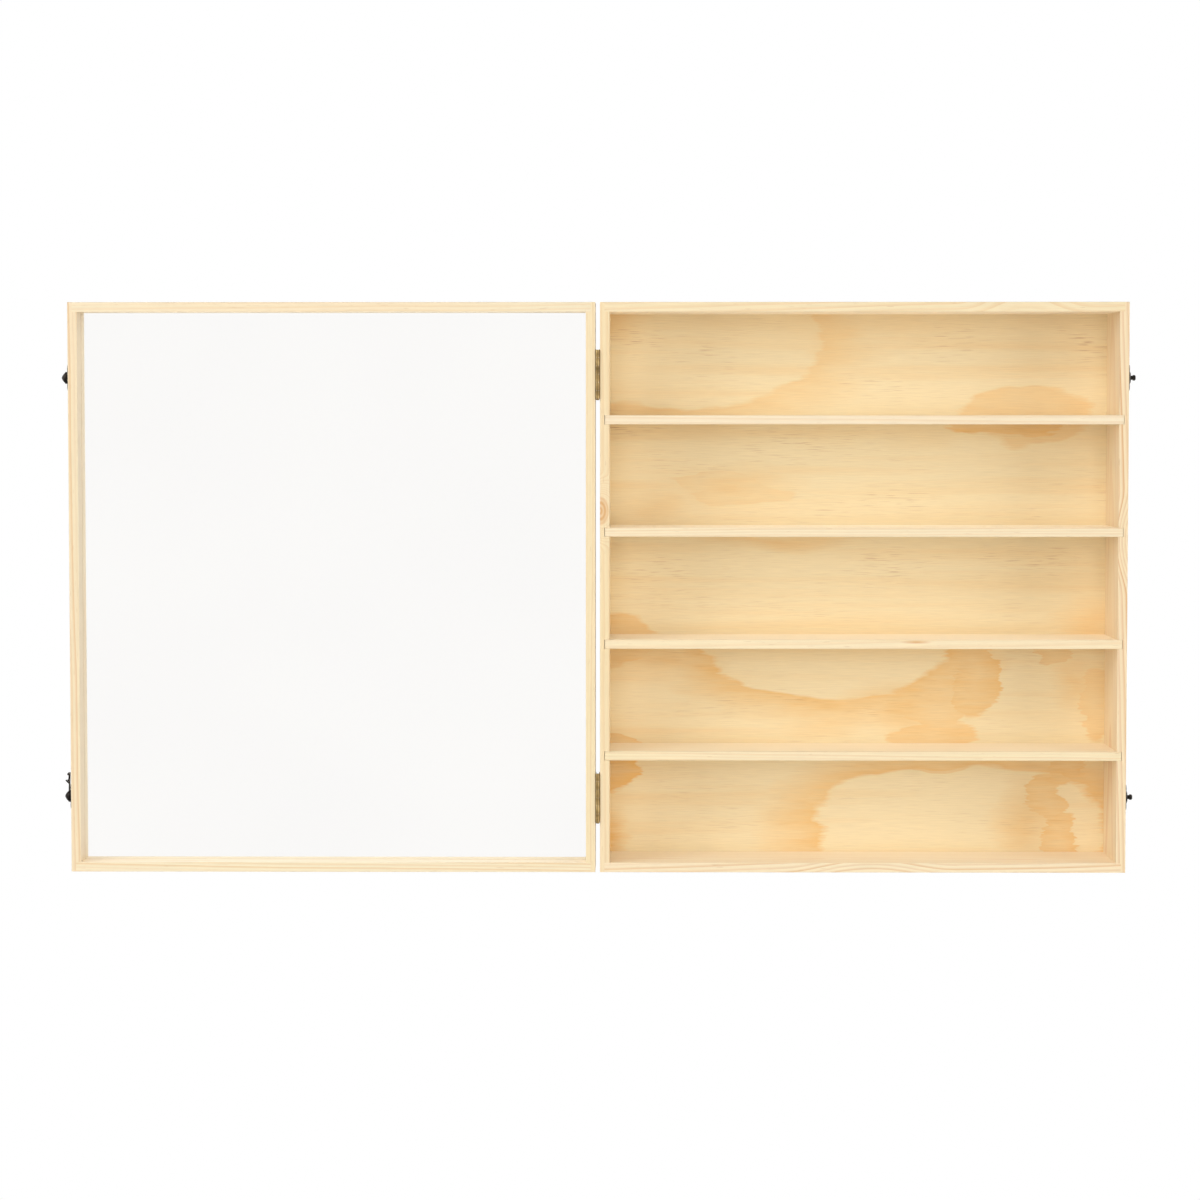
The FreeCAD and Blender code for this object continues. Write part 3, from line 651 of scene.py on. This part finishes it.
def fasten(group, body, tree, sizes, row, facing):
    """Puts a tree's fasteners in the places of a CAD group."""
    subparts = frame["record"]["subparts"]
    slot_name = next(part["material_slot"] for part in subparts if part["node"] == group)
    low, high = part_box(group)
    values = {**sizes, "Length": abs((high - low).dot(Vector(facing))), "Facing": facing,
              "Finish": METALS[slot_name]}
    mesh = bpy.data.meshes.new(f"{group}_places")
    mesh.from_pydata(places_of(group, row, facing), [], [])
    holder = bpy.data.objects.new(f"{group}_places", mesh)
    bpy.context.scene.collection.objects.link(holder)
    modifier = holder.modifiers.new("fasteners", "NODES")
    modifier.node_group = tree
    for socket in tree.interface.items_tree:
        if socket.name in values:
            modifier[socket.identifier] = values[socket.name]
    graph = bpy.context.evaluated_depsgraph_get()
    plain = bpy.data.meshes.new_from_object(holder.evaluated_get(graph), depsgraph=graph)
    bpy.data.objects.remove(holder)
    plain.shade_smooth()
    plain.set_sharp_from_angle(angle=math.radians(SHARP_EDGE))
    shown = bpy.data.objects.new(f"{group}_dressed", plain)
    bpy.context.scene.collection.objects.link(shown)
    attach(shown, body)
    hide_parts(group)


ALONG_X, ALONG_Z = 0, 2
screws = screw_tree()
round_nails = nail_tree()
fasten("case_hinge_screws", "case", screws, SCREW_SIZES, ALONG_Z, (-1, 0, 0))
fasten("door_hinge_screws", "door", screws, SCREW_SIZES, ALONG_Z, (1, 0, 0))
fasten("latch_nails", "door", round_nails, NAIL_SIZES, ALONG_Z, (-1, 0, 0))
fasten("keeper_nails", "case", round_nails, NAIL_SIZES, ALONG_Z, (1, 0, 0))
fasten("hanger_nails", "case", round_nails, NAIL_SIZES, ALONG_X, (0, 1, 0))


# Stage: a white floor a wall cabinet's height below, faint light from all round, and softboxes in front of
# the cabinet, above it, on both sides and behind, where light comes back from a white backdrop

HANGING_HEIGHT = 1.1
FLOOR_SIZE = 6.0
FLOOR_WHITE = "F4F4F2"
FLOOR_ROUGHNESS = 0.9
FLOOR_GLOW = 0.35             # lifts the floor to the background's white where it is seen
ROOM_LIGHT = 0.03

# Lamp, place, length of its sides, and power in watts. Each faces the middle of the cabinet.
LAMPS = (
    ("key_lamp", (-0.2, -6.75, 3.26), 1.3, 31.0),
    ("front_softbox", (-0.27, -7.15, 0.3), 3.8, 156.0),
    ("upper_left_softbox", (-3.5, -3.3, 2.9), 2.8, 112.0),
    ("upper_right_softbox", (3.0, -3.3, 2.9), 2.8, 9.0),
    ("left_softbox", (-4.95, -2.75, -0.1), 2.8, 80.0),
    ("right_softbox", (4.4, -2.75, -0.1), 2.8, 94.0),
    ("backdrop_softbox", (1.6, 3.2, 1.2), 2.8, 56.0),
    ("rear_softbox", (-1.6, 3.9, -0.3), 2.8, 66.0),
    ("right_side_softbox", (4.4, 0.9, 0.3), 2.8, 55.0),
)

# The pane and the sanded rails would mirror these
KEPT_OUT_OF_MIRRORS = ("front_softbox", "backdrop_softbox", "rear_softbox")

cabinet_low, cabinet_high = cad_box
cabinet_middle = (cabinet_low + cabinet_high) / 2


def seen_ray(tree):
    """1 for rays that show the background: straight to the camera, in a mirror or through the pane."""
    seen = add(tree, "ShaderNodeLightPath", output="Is Camera Ray")
    rays = seen.node.outputs
    for kind in ("Is Glossy Ray", "Is Transmission Ray"):
        seen = add(tree, "ShaderNodeMath", {0: seen, 1: rays[kind]}, operation="MAXIMUM")
    return seen


def white_floor():
    """A matt floor that takes the cabinet's shadow and is as white as the background."""
    material, tree, shader = new_finish("white_studio_floor")
    glow = add(tree, "ShaderNodeMath", {0: seen_ray(tree), 1: FLOOR_GLOW}, operation="MULTIPLY")
    feed(tree, shader, {"Base Color": linear(FLOOR_WHITE), "Roughness": FLOOR_ROUGHNESS,
                        "Emission Color": grey(1.0), "Emission Strength": glow})
    mesh = bpy.data.meshes.new("floor")
    half = FLOOR_SIZE / 2
    height = cabinet_low.z - HANGING_HEIGHT
    corners = [(x, y, height) for x, y in ((-half, -half), (half, -half), (half, half), (-half, half))]
    mesh.from_pydata(corners, [], [(0, 1, 2, 3)])
    mesh.materials.append(material)
    floor = bpy.data.objects.new("floor", mesh)
    bpy.context.scene.collection.objects.link(floor)


white_floor()

world = bpy.data.worlds.new("white_room")
world.use_nodes = True
bpy.context.scene.world = world
room = world.node_tree
strength = add(room, "ShaderNodeMapRange", {"Value": seen_ray(room), "To Min": ROOM_LIGHT, "To Max": 1.0})
feed(room, room.nodes["Background"], {"Color": grey(1.0), "Strength": strength})

for name, place, side, power in LAMPS:
    lamp = bpy.data.objects.new(name, bpy.data.lights.new(name, "AREA"))
    lamp.data.shape = "SQUARE"
    lamp.data.size = side
    lamp.data.energy = power
    lamp.location = place
    lamp.rotation_euler = (cabinet_middle - Vector(place)).to_track_quat("-Z", "Y").to_euler()
    lamp.visible_glossy = name not in KEPT_OUT_OF_MIRRORS
    lamp.visible_transmission = False
    lamp.visible_camera = False
    bpy.context.scene.collection.objects.link(lamp)


# Camera, as the photograph was taken: level with the upper shelves, a long lens a good 3 m away

SENSOR = 36.0                 # mm
FOCAL_PIXELS = 3405.0         # the focal length in the photograph's pixels
IMAGE_PIXELS = 1200.0
CAMERA_PLACE = Vector((-0.2293, -3.495, -0.1122))
CAMERA_TILT = 3.03            # degrees down
CAMERA_TURN = 0.568           # degrees to the left

camera = bpy.data.objects.new("camera", bpy.data.cameras.new("camera"))
camera.data.sensor_width = SENSOR
camera.data.lens = SENSOR * FOCAL_PIXELS / IMAGE_PIXELS
camera.location = CAMERA_PLACE
camera.rotation_euler = (math.radians(90 - CAMERA_TILT), 0, math.radians(CAMERA_TURN))
bpy.context.scene.collection.objects.link(camera)
bpy.context.scene.camera = camera
bpy.context.scene.view_settings.view_transform = "Standard"
